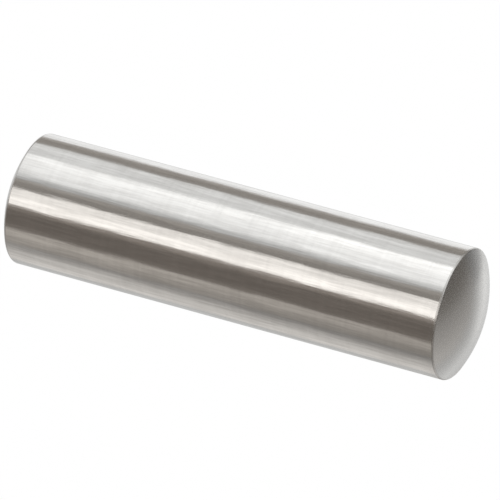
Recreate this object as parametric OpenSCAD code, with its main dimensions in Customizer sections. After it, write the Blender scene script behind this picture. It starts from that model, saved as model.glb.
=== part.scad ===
// Cylindrical dowel pin with crowned ends
//
// A solid ground pin that locates two parts in line with each other. Its wall is a true
// cylinder, pressed into a reamed hole in one part and seated in the hole of the other.
// Both ends are crowned: each is a shallow cap of a sphere, so that the pin starts in its
// hole without catching and can be struck without spreading. A small radius breaks the
// edge between the crown and the wall.
//
// All sizes are in millimetres. The pin lies along X, with the origin on its axis at
// mid-length, so every half-size below is measured from there.

/* [Pin] */
// Diameter of the ground wall
pin_d = 8; // [4:0.1:14]
// Length over the two crowns
pin_length = 30; // [10:0.5:100]

/* [Ends] */
// Radius of the sphere that each crown is a cap of
crown_r = 8; // [4.5:0.1:40]
// Radius of the broken edge between crown and wall
edge_r = 0.15; // [0.05:0.05:1.5]

/* [Quality] */
// Facets round the pin and along its arcs
facets = 128; // [32:16:256]

/* [Hidden] */

wall_r = pin_d / 2;
half_length = pin_length / 2;
steel_grey = [0.77, 0.765, 0.75];

// The crown's centre lies on the axis, one crown radius in from the end.
crown_centre = half_length - crown_r;

// The edge's arc touches the wall from inside, so its centre is one edge radius in from
// the wall. It touches the crown from inside too, so the two centres are as far apart as
// the difference of their radii. The wall ends level with the edge's centre.
edge_centre = wall_r - edge_r;
wall_end = crown_centre + sqrt(pow(crown_r - edge_r, 2) - pow(edge_centre, 2));

// The line from the crown's centre through the edge's centre meets both arcs where they
// touch. It is followed to a height that clears the crown.
clear_height = half_length + edge_r;
clear_reach = edge_centre * (clear_height - crown_centre) / (wall_end - crown_centre);

$fn = facets;

// Half outline of the crown: the part of its circle past the wall's end, from the axis out
// to where it touches the edge's arc. X runs outwards from the pin's axis and Y along it.
module crown_outline() {
    intersection() {
        translate([0, crown_centre])
            circle(r = crown_r);
        polygon([
            [0, wall_end],
            [edge_centre, wall_end],
            [clear_reach, clear_height],
            [0, clear_height]
        ]);
    }
}

// Half outline of one end of the pin, from mid-length out to the crown's top
module end_outline() {
    square([wall_r, wall_end]);
    translate([edge_centre, wall_end])
        circle(r = edge_r);
    crown_outline();
}

// The whole pin, turned as one piece from its half outline and laid along X
module dowel_pin() {
    color(steel_grey)
        rotate([0, 90, 0])
            rotate_extrude()
                union() {
                    end_outline();
                    mirror([0, 1])
                        end_outline();
                }
}

dowel_pin();
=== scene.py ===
"""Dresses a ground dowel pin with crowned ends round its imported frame.

The frame gives the pin's size and place. The script turns a smooth skin for it by rule, gives
the wall a ground finish and the crowns a tumbled one, and sets the pin in a plain white studio
with a tent of soft panels for the steel to reflect. All lengths are in metres.
"""

import logging
import math
from dataclasses import dataclass, field
from enum import Enum

import bpy
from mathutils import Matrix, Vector

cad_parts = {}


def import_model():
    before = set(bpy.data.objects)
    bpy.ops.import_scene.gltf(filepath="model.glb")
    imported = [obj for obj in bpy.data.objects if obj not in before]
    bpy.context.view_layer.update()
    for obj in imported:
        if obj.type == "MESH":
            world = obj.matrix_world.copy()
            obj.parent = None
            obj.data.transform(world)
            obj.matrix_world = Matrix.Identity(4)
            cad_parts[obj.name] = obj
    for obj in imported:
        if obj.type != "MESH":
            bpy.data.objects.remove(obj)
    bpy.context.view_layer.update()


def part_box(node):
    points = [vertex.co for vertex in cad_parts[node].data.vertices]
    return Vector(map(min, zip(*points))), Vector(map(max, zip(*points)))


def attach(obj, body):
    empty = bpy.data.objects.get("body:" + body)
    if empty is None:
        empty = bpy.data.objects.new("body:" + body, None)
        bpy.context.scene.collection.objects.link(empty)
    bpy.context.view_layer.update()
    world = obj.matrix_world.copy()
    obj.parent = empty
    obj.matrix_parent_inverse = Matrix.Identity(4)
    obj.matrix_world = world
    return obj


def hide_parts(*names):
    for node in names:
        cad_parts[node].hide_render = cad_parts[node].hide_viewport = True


LOG = logging.getLogger("dowel_pin")
NODE = "dowel_pin"
BODY = "root"
MILLIMETRE = 0.001
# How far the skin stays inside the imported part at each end.
CLEARANCE = 0.001 * MILLIMETRE
# A crown's radius is one diameter of the wall.
CROWN_PER_WALL = 2.0

Colour = tuple[float, float, float]
Span = tuple[float, float]
Socket = bpy.types.NodeSocket
Number = Socket | float
WHOLE: Span = (0.0, 1.0)


# ---------------------------------------------------------------------------
# Node trees
# ---------------------------------------------------------------------------


class Graph:
    """Writes nodes into a tree, with each node's inputs given by socket.

    The mixing node has an input of each name for every kind of value it can mix, so its
    colours are found by number.

    Attributes:
        tree: The node tree that the nodes go into.
    """

    MIX_FIRST_COLOUR = 6
    MIX_SECOND_COLOUR = 7
    MIX_COLOUR_RESULT = 2

    def __init__(self, tree: bpy.types.NodeTree) -> None:
        """Starts a graph in a tree.

        Args:
            tree: The node tree that the nodes go into.
        """
        self.tree = tree

    def node(
        self,
        kind: str,
        inputs: dict[str | int, object] | None = None,
        **settings: object,
    ) -> bpy.types.Node:
        """Adds one node.

        Args:
            kind: The node's type, by its identifier.
            inputs: Values or sockets for its inputs, by the input's name or number.
            **settings: The node's own settings, set before its inputs.

        Returns:
            The new node.
        """
        made = self.tree.nodes.new(kind)
        for name, value in settings.items():
            setattr(made, name, value)
        for key, value in (inputs or {}).items():
            if isinstance(value, Socket):
                self.tree.links.new(value, made.inputs[key])
            else:
                made.inputs[key].default_value = value
        return made

    def sum_up(self, operation: str, *values: Number) -> Socket:
        """Adds one sum, product or other function of one to three numbers.

        Args:
            operation: The operation, as the math node names it.
            *values: Its operands, as numbers or sockets.

        Returns:
            The socket that holds the result.
        """
        inputs = dict(enumerate(values))
        return self.node("ShaderNodeMath", inputs, operation=operation).outputs[0]

    def remap(self, value: Socket, given: Span, wanted: Span = WHOLE) -> Socket:
        """Maps one range of a number onto another, and holds it at both ends.

        Args:
            value: The number.
            given: Where its range starts and ends.
            wanted: The results at the start and at the end.

        Returns:
            The socket that holds the result.
        """
        inputs = {
            "Value": value,
            "From Min": given[0],
            "From Max": given[1],
            "To Min": wanted[0],
            "To Max": wanted[1],
        }
        return self.node("ShaderNodeMapRange", inputs).outputs["Result"]

    def link(self, source: Socket, target: Socket) -> None:
        """Joins an output to an input."""
        self.tree.links.new(source, target)

    def blend(self, amount: Socket, first: Colour, second: Colour) -> Socket:
        """Blends two colours.

        Args:
            amount: How far it goes from the first to the second, from 0 to 1.
            first: The first colour.
            second: The second colour.

        Returns:
            The socket that holds the blend.
        """
        inputs = {
            "Factor": amount,
            self.MIX_FIRST_COLOUR: (*first, 1.0),
            self.MIX_SECOND_COLOUR: (*second, 1.0),
        }
        mixed = self.node("ShaderNodeMix", inputs, data_type="RGBA")
        return mixed.outputs[self.MIX_COLOUR_RESULT]

    def total(self, patterns: list[Socket], shares: list[float]) -> Socket:
        """Adds patterns up by their shares.

        Args:
            patterns: The patterns.
            shares: The share of each.

        Returns:
            The socket that holds the sum.
        """
        made: Number = 0.0
        for pattern, share in zip(patterns, shares):
            made = self.sum_up("MULTIPLY_ADD", pattern, share, made)
        return made

    def bump(self, height: Socket, distance: float, under: Socket | None = None) -> Socket:
        """Turns a pattern into relief.

        Args:
            height: The pattern, from 0 to 1.
            distance: How high 1 stands.
            under: The normal of the relief that this one lies on.

        Returns:
            The socket that holds the normal.
        """
        inputs = {"Strength": 1.0, "Distance": distance, "Height": height}
        if under is not None:
            inputs["Normal"] = under
        return self.node("ShaderNodeBump", inputs).outputs["Normal"]


# ---------------------------------------------------------------------------
# Finishes
# ---------------------------------------------------------------------------


@dataclass(frozen=True)
class Marks:
    """One layer of fine marks in the metal, as a pattern whose middle is one half.

    Attributes:
        along: Size of the coarsest marks along the pin.
        across: Their size round the pin.
        height: Height of the marks.
        detail: How many finer layers they have.
        finer: How strong each finer layer is.
        share: How much of the scoring they make up, with 1 as all of it.
    """

    along: float
    across: float
    height: float
    detail: float
    finer: float
    share: float = 1.0

    def pattern(self, graph: Graph) -> Socket:
        """Adds the marks' pattern, read on the piece's own coordinates.

        Args:
            graph: Writes nodes into the material's tree.

        Returns:
            The socket that holds the pattern.
        """
        place = graph.node("ShaderNodeTexCoord").outputs["Object"]
        scale = (1 / self.along, 1 / self.across, 1 / self.across)
        mapped = graph.node("ShaderNodeMapping", {"Vector": place, "Scale": scale})
        noise = {
            "Vector": mapped.outputs["Vector"],
            "Scale": 1.0,
            "Detail": self.detail,
            "Roughness": self.finer,
        }
        return graph.node("ShaderNodeTexNoise", noise).outputs["Fac"]


GRINDING_LINES = Marks(
    along=0.35 * MILLIMETRE,
    across=7.0 * MILLIMETRE,
    height=0.0005 * MILLIMETRE,
    detail=3.0,
    finer=0.7,
    share=0.2,
)
FEED_STREAKS = Marks(
    along=3.0 * MILLIMETRE,
    across=0.2 * MILLIMETRE,
    height=0.004 * MILLIMETRE,
    detail=2.0,
    finer=0.6,
    share=0.6,
)
UNEVEN_PATCHES = Marks(
    along=3.2 * MILLIMETRE,
    across=1.1 * MILLIMETRE,
    height=0.012 * MILLIMETRE,
    detail=1.5,
    finer=0.5,
    share=0.2,
)
TUMBLED_GRAIN = Marks(
    along=0.14 * MILLIMETRE,
    across=0.14 * MILLIMETRE,
    height=0.0004 * MILLIMETRE,
    detail=3.0,
    finer=0.6,
)


@dataclass(frozen=True)
class SteelFinish:
    """Bare steel whose colour, roughness and relief follow the fine marks in it.

    Attributes:
        name: The material's name.
        bright: Colour of the cleanest metal.
        dull: Colour of the most marked metal.
        roughness: Roughness of the cleanest and of the most marked metal.
        layers: The layers of marks, from the uppermost to the lowest.
        span: The sum of the marks at which the metal is at its cleanest and at its dullest.
    """

    name: str
    bright: Colour
    dull: Colour
    roughness: Span
    layers: tuple[Marks, ...]
    span: Span

    def material(self) -> bpy.types.Material:
        """Makes the material.

        Returns:
            The finished material.
        """
        made = bpy.data.materials.new(self.name)
        made.use_nodes = True
        graph = Graph(made.node_tree)
        steel = graph.tree.nodes["Principled BSDF"].inputs
        patterns = [marks.pattern(graph) for marks in self.layers]
        scoring = graph.total(patterns, [marks.share for marks in self.layers])
        amount = graph.remap(scoring, self.span)
        graph.link(graph.blend(amount, self.bright, self.dull), steel["Base Color"])
        graph.link(graph.remap(amount, WHOLE, self.roughness), steel["Roughness"])
        relief = None
        for marks, pattern in zip(reversed(self.layers), reversed(patterns)):
            relief = graph.bump(pattern, marks.height, relief)
        graph.link(relief, steel["Normal"])
        steel["Metallic"].default_value = 1.0
        return made


@dataclass(frozen=True)
class GroundFinish(SteelFinish):
    """Bright steel with the fine lay that a grinding wheel leaves round a pin.

    The lay spreads a reflection along the axis and keeps it sharp round the pin. Its coarser
    lines show as faint rings. The pin is fed through the wheel along its axis, which leaves
    fainter streaks that way and makes the metal a little uneven.

    Attributes:
        anisotropy: How much wider a reflection is along the pin than round it.
        lay_turn: How far the wide way of a reflection is turned off the way round the pin, in
            whole turns.
    """

    name: str = "ground_wall"
    bright: Colour = (0.825, 0.82, 0.805)
    dull: Colour = (0.7, 0.693, 0.678)
    roughness: Span = (0.18, 0.225)
    layers: tuple[Marks, ...] = (GRINDING_LINES, FEED_STREAKS, UNEVEN_PATCHES)
    span: Span = (0.4, 0.6)
    anisotropy: float = 0.85
    lay_turn: float = 0.25

    def material(self) -> bpy.types.Material:
        """Makes the material and gives it its lay.

        Returns:
            The finished material.
        """
        made = super().material()
        graph = Graph(made.node_tree)
        steel = graph.tree.nodes["Principled BSDF"].inputs
        round_pin = graph.node("ShaderNodeTangent", direction_type="RADIAL", axis="X")
        graph.link(round_pin.outputs["Tangent"], steel["Tangent"])
        steel["Anisotropic"].default_value = self.anisotropy
        steel["Anisotropic Rotation"].default_value = self.lay_turn
        return made


@dataclass(frozen=True)
class TumbledFinish(SteelFinish):
    """Satin steel, as turned ends are left after they are tumbled."""

    name: str = "tumbled_crown"
    bright: Colour = (0.78, 0.775, 0.76)
    dull: Colour = (0.745, 0.738, 0.724)
    roughness: Span = (0.25, 0.3)
    layers: tuple[Marks, ...] = (TUMBLED_GRAIN,)
    span: Span = (0.35, 0.65)


@dataclass(frozen=True)
class BrokenEdgeFinish(TumbledFinish):
    """Darker, duller steel on the broken edges, where tumbling takes the burr off."""

    name: str = "broken_edge"
    bright: Colour = (0.6, 0.594, 0.582)
    dull: Colour = (0.54, 0.534, 0.523)
    roughness: Span = (0.26, 0.31)


# ---------------------------------------------------------------------------
# The pin
# ---------------------------------------------------------------------------


@dataclass(frozen=True)
class MapLayout:
    """Where the wall and the crowns lie on the pin's flat map.

    Attributes:
        name: The map's name.
        margin: Clear border round the wall.
        wall_width: Width of the wall, all the way round the pin.
        crown_across: Where the crowns' middles are across the map.
        crown_offset: How far they are above and below the map's middle.
        crown_radius: Radius of a crown.
        middle: Where the map's own middle is, across and up.
    """

    name: str = "OFBake"
    margin: float = 0.01
    wall_width: float = 0.72
    crown_across: float = 0.865
    crown_offset: float = 0.25
    crown_radius: float = 0.12
    middle: float = 0.5


@dataclass(frozen=True)
class Outline:
    """Where a pin's crown, edge and wall meet, as numbers in a node tree.

    Attributes:
        arc_radius: Radius of the arc that the edge rolls on.
        touch_angle: Angle off the axis at which the crown meets the edge.
        touch_cosine: Its cosine.
        wall_end: Distance from mid-length to the wall's end.
        crown_end: Distance from mid-length to the crown's rim.
    """

    arc_radius: Socket
    touch_angle: Socket
    touch_cosine: Socket
    wall_end: Socket
    crown_end: Socket


@dataclass(frozen=True)
class GridPlace:
    """Where a point of the flat grid comes on the pin.

    Attributes:
        row: Its row, counted from the near pole.
        from_pole: Rings of faces between it and the nearer pole.
        past_rim: Whether it lies past a crown's rim, as 1 or 0.
        end_rings: Rings of faces from a pole to the wall.
        side: 1 on the far half of the pin and -1 on the near half.
        turn_share: Share of the way round, from a seam underneath.
        turn: Angle round the pin.
    """

    row: Socket
    from_pole: Socket
    past_rim: Socket
    end_rings: Socket
    side: Socket
    turn_share: Socket
    turn: Socket


class TurningTree:
    """Geometry nodes that turn a pin's skin from a flat grid.

    The grid's rows run from one crown's top to the other's. A row's place comes from the
    angle between the skin's normal and the axis: on the crown it grows from zero, on the
    edge it goes on to a right angle, and along the wall it stays there. The crown's arc
    is one circle of the crown radius less the edge radius, and the edge's arc rolls on it.

    Attributes:
        INPUTS: Each input's name and type.
        GRID_SIZE: Length of the flat grid's sides. It is one, so that a place on the grid is a
            share of it.
        SEAM: Angle round the pin where the grid's two long sides meet, straight below.
        WELD_DISTANCE: Distance under which two points become one.
        tree: The node tree, with the pin's sizes as named inputs.
        graph: Writes nodes into the tree.
        given: The tree's inputs.
    """

    INPUTS = {
        "Wall Radius": "NodeSocketFloat",
        "Half Length": "NodeSocketFloat",
        "Crown Radius": "NodeSocketFloat",
        "Edge Radius": "NodeSocketFloat",
        "Facets": "NodeSocketInt",
        "Crown Rings": "NodeSocketInt",
        "Edge Rings": "NodeSocketInt",
        "Wall Rings": "NodeSocketInt",
        "Wall Finish": "NodeSocketMaterial",
        "Crown Finish": "NodeSocketMaterial",
        "Edge Finish": "NodeSocketMaterial",
    }
    GRID_SIZE = 1.0
    SEAM = -math.pi / 2
    WELD_DISTANCE = 1e-7

    def __init__(self) -> None:
        """Starts the tree with its named inputs."""
        self.tree = bpy.data.node_groups.new("turned_pin", "GeometryNodeTree")
        for name, kind in self.INPUTS.items():
            self.tree.interface.new_socket(name, in_out="INPUT", socket_type=kind)
        result = {"in_out": "OUTPUT", "socket_type": "NodeSocketGeometry"}
        self.tree.interface.new_socket("Geometry", **result)
        self.graph = Graph(self.tree)
        self.given = self.graph.node("NodeGroupInput").outputs

    def position(self) -> bpy.types.NodeOutputs:
        """Gives a point's X, Y and Z, each as a socket."""
        spot = self.graph.node("GeometryNodeInputPosition").outputs[0]
        return self.graph.node("ShaderNodeSeparateXYZ", {"Vector": spot}).outputs

    def share(self, part: Socket, whole: Socket) -> Socket:
        """Gives a part's share of the whole, held between 0 and 1."""
        ratio = self.graph.sum_up("DIVIDE", part, whole)
        return self.graph.node("ShaderNodeClamp", {"Value": ratio}).outputs[0]

    def outline(self) -> Outline:
        """Works out where the arcs meet.

        Returns:
            The numbers that fix the outline.
        """
        sum_up, given = self.graph.sum_up, self.given
        arc_radius = sum_up("SUBTRACT", given["Crown Radius"], given["Edge Radius"])
        edge_centre = sum_up("SUBTRACT", given["Wall Radius"], given["Edge Radius"])
        touch_angle = sum_up("ARCSINE", sum_up("DIVIDE", edge_centre, arc_radius))
        touch_cosine = sum_up("COSINE", touch_angle)
        crown_centre = sum_up("SUBTRACT", given["Half Length"], given["Crown Radius"])
        wall_end = sum_up("MULTIPLY_ADD", arc_radius, touch_cosine, crown_centre)
        crown_end = sum_up("MULTIPLY_ADD", given["Crown Radius"], touch_cosine, crown_centre)
        return Outline(arc_radius, touch_angle, touch_cosine, wall_end, crown_end)

    def grid(self) -> tuple[Socket, GridPlace]:
        """Lays the flat grid, with a row of points for each ring's edge.

        Returns:
            The grid, and where a point of it comes on the pin.
        """
        sum_up, given = self.graph.sum_up, self.given
        end_rings = sum_up("ADD", given["Crown Rings"], given["Edge Rings"])
        rings = sum_up("MULTIPLY_ADD", end_rings, 2.0, given["Wall Rings"])
        sizes = {
            "Size X": self.GRID_SIZE,
            "Size Y": self.GRID_SIZE,
            "Vertices X": sum_up("ADD", rings, 1.0),
            "Vertices Y": sum_up("ADD", given["Facets"], 1.0),
        }
        mesh = self.graph.node("GeometryNodeMeshGrid", sizes).outputs["Mesh"]
        spot = self.position()
        half_grid = self.GRID_SIZE / 2
        along = sum_up("ADD", spot["X"], half_grid)
        row = sum_up("ROUND", sum_up("MULTIPLY", along, rings))
        from_pole = sum_up("MINIMUM", row, sum_up("SUBTRACT", rings, row))
        rim = sum_up("SUBTRACT", half_grid, sum_up("DIVIDE", given["Crown Rings"], rings))
        past_rim = sum_up("GREATER_THAN", sum_up("ABSOLUTE", spot["X"]), rim)
        side = sum_up("SIGN", spot["X"])
        turn_share = sum_up("ADD", spot["Y"], half_grid)
        turn = sum_up("MULTIPLY_ADD", turn_share, math.tau, self.SEAM)
        return mesh, GridPlace(row, from_pole, past_rim, end_rings, side, turn_share, turn)

    def profile(self, outline: Outline, at: GridPlace) -> tuple[Socket, Socket, Socket]:
        """Works out where a row of the skin lies.

        Args:
            outline: The numbers that fix the outline.
            at: The row's place on the grid.

        Returns:
            The row's place along the axis, its distance from the axis, and its share of the
            way from the crown's top to the crown's rim.
        """
        sum_up, given = self.graph.sum_up, self.given
        crown_share = self.share(at.from_pole, given["Crown Rings"])
        past_crown = sum_up("SUBTRACT", at.from_pole, given["Crown Rings"])
        edge_share = self.share(past_crown, given["Edge Rings"])
        crown_lean = sum_up("MULTIPLY", outline.touch_angle, crown_share)
        edge_span = sum_up("SUBTRACT", math.pi / 2, outline.touch_angle)
        lean = sum_up("MULTIPLY_ADD", edge_span, edge_share, crown_lean)

        past_end = sum_up("SUBTRACT", at.row, at.end_rings)
        wall_share = self.share(past_end, given["Wall Rings"])
        wall_step = sum_up("MULTIPLY_ADD", wall_share, 2.0, -1.0)
        wall_place = sum_up("MULTIPLY", outline.wall_end, wall_step)
        rise = sum_up("SUBTRACT", sum_up("COSINE", crown_lean), outline.touch_cosine)
        crown_rise = sum_up("MULTIPLY", outline.arc_radius, rise)
        overhang = sum_up("MULTIPLY_ADD", given["Edge Radius"], sum_up("COSINE", lean), crown_rise)
        place = sum_up("MULTIPLY_ADD", at.side, overhang, wall_place)
        arc_out = sum_up("MULTIPLY", outline.arc_radius, sum_up("SINE", crown_lean))
        out = sum_up("MULTIPLY_ADD", given["Edge Radius"], sum_up("SINE", lean), arc_out)
        return place, out, crown_share

    def flat_map(self, layout: MapLayout, outline: Outline, at: GridPlace) -> Socket:
        """Lays the skin out flat: the wall as one sheet and each crown as a disc.

        The wall's width runs round the pin and its height along the axis.

        Args:
            layout: Where the wall and the crowns lie.
            outline: The numbers that fix the outline.
            at: The point's place on the grid.

        Returns:
            The point's place on the map.
        """
        sum_up = self.graph.sum_up
        place, _, crown_share = self.profile(outline, at)
        wall_height = sum_up("DIVIDE", place, outline.crown_end)
        half_height = layout.middle - layout.margin
        wall = {
            "X": sum_up("MULTIPLY_ADD", at.turn_share, layout.wall_width, layout.margin),
            "Y": sum_up("MULTIPLY_ADD", wall_height, half_height, layout.middle),
        }
        from_middle = sum_up("MULTIPLY", crown_share, layout.crown_radius)
        sideways = sum_up("MULTIPLY", from_middle, at.side)
        middle = sum_up("MULTIPLY_ADD", at.side, layout.crown_offset, layout.middle)
        crown = {
            "X": sum_up("MULTIPLY_ADD", sum_up("COSINE", at.turn), sideways, layout.crown_across),
            "Y": sum_up("MULTIPLY_ADD", sum_up("SINE", at.turn), from_middle, middle),
        }
        rim = {"Value": at.past_rim}
        whole_face = {"data_type": "BOOLEAN", "domain": "FACE"}
        on_crown = self.graph.node("GeometryNodeFieldOnDomain", rim, **whole_face).outputs[0]
        choice = {
            "Switch": on_crown,
            "False": self.graph.node("ShaderNodeCombineXYZ", wall).outputs[0],
            "True": self.graph.node("ShaderNodeCombineXYZ", crown).outputs[0],
        }
        return self.graph.node("GeometryNodeSwitch", choice, input_type="VECTOR").outputs[0]

    def skin(self, layout: MapLayout, outline: Outline) -> Socket:
        """Turns the grid into the skin and closes it.

        Args:
            layout: Where the wall and the crowns lie on the flat map.
            outline: The numbers that fix the outline.

        Returns:
            The closed skin, with its flat map.
        """
        graph = self.graph
        grid, at = self.grid()
        flat = {"Geometry": grid, "Name": layout.name, "Value": self.flat_map(layout, outline, at)}
        corners = {"data_type": "FLOAT2", "domain": "CORNER"}
        mapped = graph.node("GeometryNodeStoreNamedAttribute", flat, **corners).outputs[0]
        place, out, _ = self.profile(outline, at)
        spot = {
            "X": place,
            "Y": graph.sum_up("MULTIPLY", out, graph.sum_up("COSINE", at.turn)),
            "Z": graph.sum_up("MULTIPLY", out, graph.sum_up("SINE", at.turn)),
        }
        turned = graph.node("ShaderNodeCombineXYZ", spot).outputs[0]
        moved = {"Geometry": mapped, "Position": turned}
        open_skin = graph.node("GeometryNodeSetPosition", moved).outputs[0]
        welded = {"Geometry": open_skin, "Distance": self.WELD_DISTANCE}
        closed = graph.node("GeometryNodeMergeByDistance", welded).outputs[0]
        outward = graph.node("GeometryNodeFlipFaces", {"Mesh": closed}).outputs[0]
        return graph.node("GeometryNodeSetShadeSmooth", {"Geometry": outward}).outputs[0]

    def finished(self, skin: Socket, outline: Outline) -> Socket:
        """Gives the skin its finishes: the wall's, then the edges', then the crowns'.

        Args:
            skin: The closed skin.
            outline: The numbers that fix the outline.

        Returns:
            The finished skin.
        """
        graph, given = self.graph, self.given
        real = graph.node("GeometryNodeRealizeInstances", {"Geometry": skin}).outputs[0]
        from_middle = graph.sum_up("ABSOLUTE", self.position()["X"])
        wall = {"Geometry": real, "Material": given["Wall Finish"]}
        made = graph.node("GeometryNodeSetMaterial", wall).outputs[0]
        for limit, finish in ((outline.wall_end, "Edge Finish"), (outline.crown_end, "Crown Finish")):
            past = graph.sum_up("GREATER_THAN", from_middle, limit)
            part = {"Geometry": made, "Selection": past, "Material": given[finish]}
            made = graph.node("GeometryNodeSetMaterial", part).outputs[0]
        return made

    def build(self, layout: MapLayout) -> bpy.types.NodeTree:
        """Writes the whole tree.

        Args:
            layout: Where the wall and the crowns lie on the flat map.

        Returns:
            The finished tree.
        """
        outline = self.outline()
        skin = self.skin(layout, outline)
        self.graph.node("NodeGroupOutput", {"Geometry": self.finished(skin, outline)})
        return self.tree


@dataclass
class DowelPin:
    """One solid pin along X: a ground wall with a crown on each end.

    Attributes:
        wall_radius: Radius of the ground wall.
        half_length: Distance from mid-length to the top of a crown.
        crown_radius: Radius of the sphere that a crown is a cap of.
        edge_radius: Radius of the broken edge between crown and wall.
        wall_finish: Finish of the wall.
        crown_finish: Finish of the crowns.
        edge_finish: Finish of the broken edges.
        layout: Where the wall and the crowns lie on the pin's flat map.
        facets: Number of faces round the pin.
        crown_rings: Rings of faces from a crown's top to its edge.
        edge_rings: Rings of faces across an edge.
        wall_rings: Rings of faces along the wall.
    """

    wall_radius: float
    half_length: float
    crown_radius: float
    edge_radius: float = 0.15 * MILLIMETRE
    wall_finish: GroundFinish = field(default_factory=GroundFinish)
    crown_finish: TumbledFinish = field(default_factory=TumbledFinish)
    edge_finish: BrokenEdgeFinish = field(default_factory=BrokenEdgeFinish)
    layout: MapLayout = field(default_factory=MapLayout)
    facets: int = 288
    crown_rings: int = 36
    edge_rings: int = 8
    wall_rings: int = 24

    def sizes(self) -> dict[str, object]:
        """Gathers what the turning tree needs.

        Returns:
            A value for each of the tree's named inputs.
        """
        return {
            "Wall Radius": self.wall_radius,
            "Half Length": self.half_length,
            "Crown Radius": self.crown_radius,
            "Edge Radius": self.edge_radius,
            "Facets": self.facets,
            "Crown Rings": self.crown_rings,
            "Edge Rings": self.edge_rings,
            "Wall Rings": self.wall_rings,
            "Wall Finish": self.wall_finish.material(),
            "Crown Finish": self.crown_finish.material(),
            "Edge Finish": self.edge_finish.material(),
        }

    def build(self) -> bpy.types.Object:
        """Turns the skin, dresses it and makes it a plain mesh.

        Returns:
            The finished piece.
        """
        tree = TurningTree().build(self.layout)
        sizes = self.sizes()
        blank = bpy.data.objects.new("pin_blank", bpy.data.meshes.new("pin_blank"))
        bpy.context.scene.collection.objects.link(blank)
        turning = blank.modifiers.new("turning", "NODES")
        turning.node_group = tree
        for item in tree.interface.items_tree:
            if item.in_out == "INPUT":
                turning[item.identifier] = sizes[item.name]
        seen = blank.evaluated_get(bpy.context.evaluated_depsgraph_get())
        mesh = bpy.data.meshes.new_from_object(seen)
        mesh.name = "pin_skin"
        mesh.materials.pop(index=0)  # the flat grid's own slot, which is empty
        blank.modifiers.remove(turning)
        bpy.data.objects.remove(blank)
        piece = bpy.data.objects.new("pin_skin", mesh)
        bpy.context.scene.collection.objects.link(piece)
        return piece


# ---------------------------------------------------------------------------
# The studio
# ---------------------------------------------------------------------------


class Tone(Enum):
    """Colours of the studio's panels."""

    NEUTRAL = (1.0, 1.0, 0.995)
    CREAM = (1.0, 0.96, 0.92)
    WARM_GREY = (1.0, 0.925, 0.845)
    BROWN = (1.0, 0.87, 0.77)


@dataclass(frozen=True)
class RoundPanel:
    """A panel that curves round the pin's axis.

    Attributes:
        name: The panel's name.
        start: Angle round the pin where it starts, in degrees: 0 in front and 90 overhead.
        end: Angle where it ends.
        start_level: Brightness where it starts, with 1 as white.
        end_level: Brightness where it ends.
        tone: Its colour.
        low_reach: Where it starts along the pin's axis.
        high_reach: Where it ends along the axis.
        high_share: Share of its brightness that is left at the far end of the axis.
        radius: Its distance from the axis.
        step: Angle that one strip of its mesh spans, in degrees.
    """

    name: str
    start: float
    end: float
    start_level: float
    end_level: float
    tone: Tone = Tone.NEUTRAL
    low_reach: float = -0.7
    high_reach: float = 0.7
    high_share: float = 1.0
    radius: float = 0.12
    step: float = 1.0

    def strip(self) -> list[tuple[Vector, float]]:
        """Works out the panel's corners, two to a row.

        Returns:
            Each corner's place and brightness.
        """
        count = max(1, math.ceil((self.end - self.start) / self.step))
        corners = []
        for i in range(count + 1):
            share = i / count
            angle = math.radians(self.start + share * (self.end - self.start))
            level = self.start_level + share * (self.end_level - self.start_level)
            y, z = -self.radius * math.cos(angle), self.radius * math.sin(angle)
            corners.append((Vector((self.low_reach, y, z)), level))
            corners.append((Vector((self.high_reach, y, z)), level * self.high_share))
        return corners


@dataclass(frozen=True)
class InnerPanel(RoundPanel):
    """A short panel for the right crown, which reflects it more than the wall does.

    It hangs a little nearer to the pin than the rest, so that no two panels lie together.
    """

    low_reach: float = 0.03
    high_reach: float = 0.1
    radius: float = 0.118


@dataclass(frozen=True)
class EndCard:
    """A flat card that stands across the pin's axis, beyond one end.

    Attributes:
        name: The card's name.
        place: Where it stands along the axis.
        bottom: Height of its lower edge over the axis.
        top: Height of its upper edge.
        low_level: Brightness at its lower edge.
        high_level: Brightness at its upper edge.
        tone: Its colour.
        front: How far it reaches to the front, past the axis.
        rear: How far it reaches to the rear.
    """

    name: str
    place: float
    bottom: float
    top: float
    low_level: float
    high_level: float
    tone: Tone = Tone.NEUTRAL
    front: float = 0.12
    rear: float = 0.12

    def strip(self) -> list[tuple[Vector, float]]:
        """Works out the card's corners, two to a row.

        Returns:
            Each corner's place and brightness.
        """
        corners = []
        for height, level in ((self.bottom, self.low_level), (self.top, self.high_level)):
            for y in (-self.front, self.rear):
                corners.append((Vector((self.place, y, height)), level))
        return corners


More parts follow.
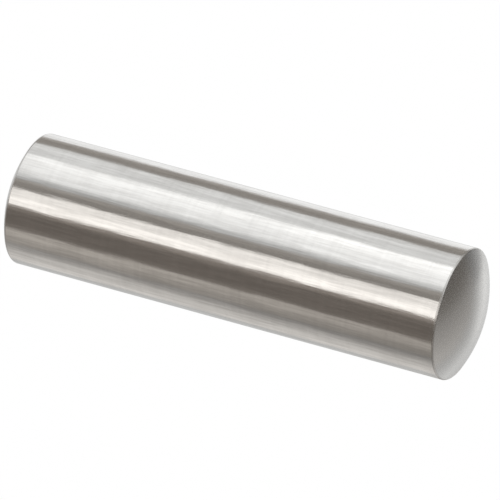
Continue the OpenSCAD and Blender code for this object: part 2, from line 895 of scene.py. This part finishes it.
@dataclass
class LightTent:
    """Soft panels and flags round the pin, seen only in what the steel reflects.

    Attributes:
        panels: The panels.
        layer: Name of the attribute that holds a panel's brightness at its corners.
    """

    panels: tuple[RoundPanel | EndCard, ...]
    layer: str = "level"

    def glow(self) -> bpy.types.Material:
        """Makes the material that gives back each panel's own brightness.

        Returns:
            The material.
        """
        made = bpy.data.materials.new("panel_glow")
        made.use_nodes = True
        made.node_tree.nodes.clear()
        graph = Graph(made.node_tree)
        level = graph.node("ShaderNodeAttribute", attribute_name=self.layer)
        shine = graph.node("ShaderNodeEmission", {"Color": level.outputs["Color"], "Strength": 1.0})
        graph.node("ShaderNodeOutputMaterial", {"Surface": shine.outputs[0]})
        made.cycles.emission_sampling = "NONE"
        return made

    def hang(self, panel: RoundPanel | EndCard, glow: bpy.types.Material) -> bpy.types.Object:
        """Builds one panel and hangs it so that only reflections see it.

        Args:
            panel: The panel to build.
            glow: The material that shows its brightness.

        Returns:
            The panel's object.
        """
        corners = panel.strip()
        faces = [(i, i + 1, i + 3, i + 2) for i in range(0, len(corners) - 2, 2)]
        mesh = bpy.data.meshes.new(panel.name)
        mesh.from_pydata([place for place, _ in corners], [], faces)
        levels = mesh.attributes.new(self.layer, "FLOAT_COLOR", "POINT")
        for corner, (_, level) in zip(levels.data, corners):
            corner.color = (*(level * part for part in panel.tone.value), 1.0)
        mesh.materials.append(glow)
        made = bpy.data.objects.new(panel.name, mesh)
        bpy.context.scene.collection.objects.link(made)
        made.visible_camera = False
        made.visible_diffuse = False
        made.visible_shadow = False
        made.visible_transmission = False
        return made

    def build(self) -> list[bpy.types.Object]:
        """Hangs all the panels.

        Returns:
            The panels' objects.
        """
        glow = self.glow()
        return [self.hang(panel, glow) for panel in self.panels]


@dataclass
class WhiteStudio:
    """A white floor under the pin and even white light all round.

    Attributes:
        drop: Distance from the pin's axis down to the floor.
        half_width: Distance from the middle of the floor to its edges.
        floor_colour: The floor's own colour.
        sky_colour: Colour of the light all round.
    """

    drop: float = 0.16
    half_width: float = 3.0
    floor_colour: float = 0.8
    sky_colour: Colour = (1.0, 1.0, 1.0)

    def world(self) -> bpy.types.World:
        """Makes the even white light round the floor.

        Returns:
            The world.
        """
        made = bpy.data.worlds.new("white_light")
        made.use_nodes = True
        sky = made.node_tree.nodes["Background"]
        sky.inputs["Color"].default_value = (*self.sky_colour, 1.0)
        sky.inputs["Strength"].default_value = 1.0
        made.cycles.sampling_method = "NONE"
        bpy.context.scene.world = made
        return made

    def paper(self) -> bpy.types.Material:
        """Makes the floor's material.

        Its own colour takes the light and the pin's shadow. Where it is seen directly, in
        metal or through glass, a little light of its own makes up the difference to white.

        Returns:
            The material.
        """
        made = bpy.data.materials.new("white_paper")
        made.use_nodes = True
        made.node_tree.nodes.clear()
        graph = Graph(made.node_tree)
        path = graph.node("ShaderNodeLightPath").outputs
        mirrored = graph.sum_up("MAXIMUM", path["Is Glossy Ray"], path["Is Transmission Ray"])
        is_seen = graph.sum_up("MAXIMUM", path["Is Camera Ray"], mirrored)
        lift = graph.sum_up("MULTIPLY", is_seen, 1.0 - self.floor_colour)
        grey = (self.floor_colour,) * 3
        matt = graph.node("ShaderNodeBsdfDiffuse", {"Color": (*grey, 1.0)})
        glow = graph.node("ShaderNodeEmission", {"Strength": lift})
        both = graph.node("ShaderNodeAddShader", {0: matt.outputs[0], 1: glow.outputs[0]})
        graph.node("ShaderNodeOutputMaterial", {"Surface": both.outputs[0]})
        made.cycles.emission_sampling = "NONE"
        return made

    def build(self) -> bpy.types.Object:
        """Lays the floor and lights it.

        Returns:
            The floor.
        """
        self.world()
        signs = ((-1, -1), (1, -1), (1, 1), (-1, 1))
        corners = [(x * self.half_width, y * self.half_width, -self.drop) for x, y in signs]
        mesh = bpy.data.meshes.new("floor")
        mesh.from_pydata(corners, [], [(0, 1, 2, 3)])
        mesh.materials.append(self.paper())
        floor = bpy.data.objects.new("floor", mesh)
        bpy.context.scene.collection.objects.link(floor)
        return floor


@dataclass(frozen=True)
class ViewingCamera:
    """A long-lens camera on the pin.

    Attributes:
        azimuth: Angle round the pin, in degrees, with 0 looking along +Y.
        elevation: Angle above the horizon, in degrees.
        distance: Distance to the pin's centre.
        frame_width: Width that the picture covers at the pin.
        aim_right: How far right of the pin's centre the picture's centre is.
        aim_up: How far above the pin's centre the picture's centre is.
        clip_ratio: How many times nearer and farther than the pin it still sees.
    """

    azimuth: float = 25.56
    elevation: float = 34.54
    distance: float = 0.573
    frame_width: float = 29.47 * MILLIMETRE
    aim_right: float = 0.247 * MILLIMETRE
    aim_up: float = 0.343 * MILLIMETRE
    clip_ratio: float = 10.0

    def build(self) -> bpy.types.Object:
        """Sets up the camera as the scene's own.

        Returns:
            The camera.
        """
        around, above = math.radians(self.azimuth), math.radians(self.elevation)
        back = Vector(
            (
                math.sin(around) * math.cos(above),
                -math.cos(around) * math.cos(above),
                math.sin(above),
            )
        )
        right = Vector((math.cos(around), math.sin(around), 0.0))
        aim = right * self.aim_right + back.cross(right) * self.aim_up
        lens = bpy.data.cameras.new("viewing_camera")
        lens.lens = lens.sensor_width * self.distance / self.frame_width
        lens.clip_start = self.distance / self.clip_ratio
        lens.clip_end = self.distance * self.clip_ratio
        camera = bpy.data.objects.new("viewing_camera", lens)
        camera.location = aim + back * self.distance
        camera.rotation_mode = "QUATERNION"
        camera.rotation_quaternion = (-back).to_track_quat("-Z", "Y")
        bpy.context.scene.collection.objects.link(camera)
        bpy.context.scene.camera = camera
        return camera


# Some panels change in brightness along the pin. They are hung as two that meet here.
FRONT_SPLIT = -0.045
OVERHEAD_SPLIT = -0.043

PANELS = (
    RoundPanel("under_card", -160.0, -104.0, 0.73, 0.51),
    RoundPanel("under_card_front", -104.0, -76.0, 0.77, 0.55, Tone.CREAM),
    RoundPanel("under_card_edge", -76.0, -54.0, 0.64, 0.27, Tone.CREAM, high_reach=FRONT_SPLIT),
    RoundPanel("under_card_edge_right", -76.0, -54.0, 0.55, 0.18, Tone.CREAM, low_reach=FRONT_SPLIT),
    RoundPanel("front_card", -54.0, -40.0, 0.36, 0.4, Tone.WARM_GREY, high_reach=FRONT_SPLIT),
    RoundPanel("front_card_right", -54.0, -40.0, 0.27, 0.3, Tone.WARM_GREY, low_reach=FRONT_SPLIT),
    RoundPanel("front_card_top", -40.0, -23.5, 0.48, 0.46, Tone.WARM_GREY, high_reach=FRONT_SPLIT),
    RoundPanel("front_card_top_right", -40.0, -23.5, 0.37, 0.43, Tone.WARM_GREY, low_reach=FRONT_SPLIT),
    RoundPanel("front_flag", -23.5, 8.0, 0.163, 0.158, Tone.BROWN),
    RoundPanel("front_flag_edge", 8.0, 18.5, 0.2, 0.3, Tone.BROWN),
    RoundPanel("front_softbox", 18.5, 33.0, 1.35, 1.2, Tone.CREAM),
    RoundPanel("front_softbox_top", 33.0, 47.0, 0.97, 1.1, Tone.CREAM),
    RoundPanel("front_gap", 47.0, 63.0, 0.17, 0.4, Tone.WARM_GREY),
    RoundPanel("overhead_edge", 63.0, 79.0, 0.31, 1.08, high_reach=OVERHEAD_SPLIT),
    RoundPanel("overhead_edge_right", 63.0, 79.0, 0.44, 1.24, low_reach=OVERHEAD_SPLIT),
    RoundPanel("overhead_softbox", 79.0, 113.0, 0.93, 1.2, high_reach=OVERHEAD_SPLIT),
    RoundPanel("overhead_softbox_right", 79.0, 113.0, 0.99, 1.53, low_reach=OVERHEAD_SPLIT),
    RoundPanel("rear_reflector", 113.0, 144.0, 0.72, 0.91),
    RoundPanel("rear_flag", 144.0, 170.5, 0.25, 0.37, Tone.WARM_GREY),
    InnerPanel("rear_low_softbox", 175.0, 224.0, 1.13, 0.66, Tone.NEUTRAL, -0.02, 0.03, high_share=0.95),
    InnerPanel("under_gap", 224.0, 250.0, 0.45, 0.38, Tone.WARM_GREY, -0.025, 0.002),
    InnerPanel("rear_low_card", 171.0, 202.0, 0.14, 0.56, high_share=0.42),
    InnerPanel("rear_under_card", 202.0, 222.0, 1.15, 0.94, high_share=0.34),
    InnerPanel("under_end_card", 222.0, 262.0, 0.79, 0.84, high_share=0.43),
    EndCard("right_flag", 0.1, 0.02, 0.08, 0.14, 0.145, Tone.WARM_GREY, front=0.0, rear=0.07),
    EndCard("right_low_flag", 0.1, -0.02, 0.02, 0.19, 0.09, Tone.WARM_GREY, front=0.02),
    EndCard("right_card", 0.1, -0.12, -0.02, 0.58, 0.27, Tone.CREAM, front=0.04),
)


def main() -> None:
    """Builds the pin, its studio and its camera."""
    logging.basicConfig(level=logging.INFO, format="%(name)s: %(message)s")
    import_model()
    bpy.context.scene.view_settings.view_transform = "Standard"

    low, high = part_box(NODE)
    wall_radius = min(-low.y, high.y, -low.z, high.z)
    half_length = min(-low.x, high.x) - CLEARANCE
    pin = DowelPin(wall_radius, half_length, crown_radius=wall_radius * CROWN_PER_WALL)
    piece = pin.build()
    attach(piece, BODY)
    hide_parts(NODE)
    LOG.info("%s: %d faces for node %s", piece.name, len(piece.data.polygons), NODE)

    floor = WhiteStudio().build()
    LOG.info("%s: %.2f m below the pin", floor.name, -floor.data.vertices[0].co.z)
    panels = LightTent(PANELS).build()
    LOG.info("tent: %d panels", len(panels))
    camera = ViewingCamera().build()
    LOG.info("%s: %.0f mm lens", camera.name, camera.data.lens)


if __name__ == "__main__":
    main()
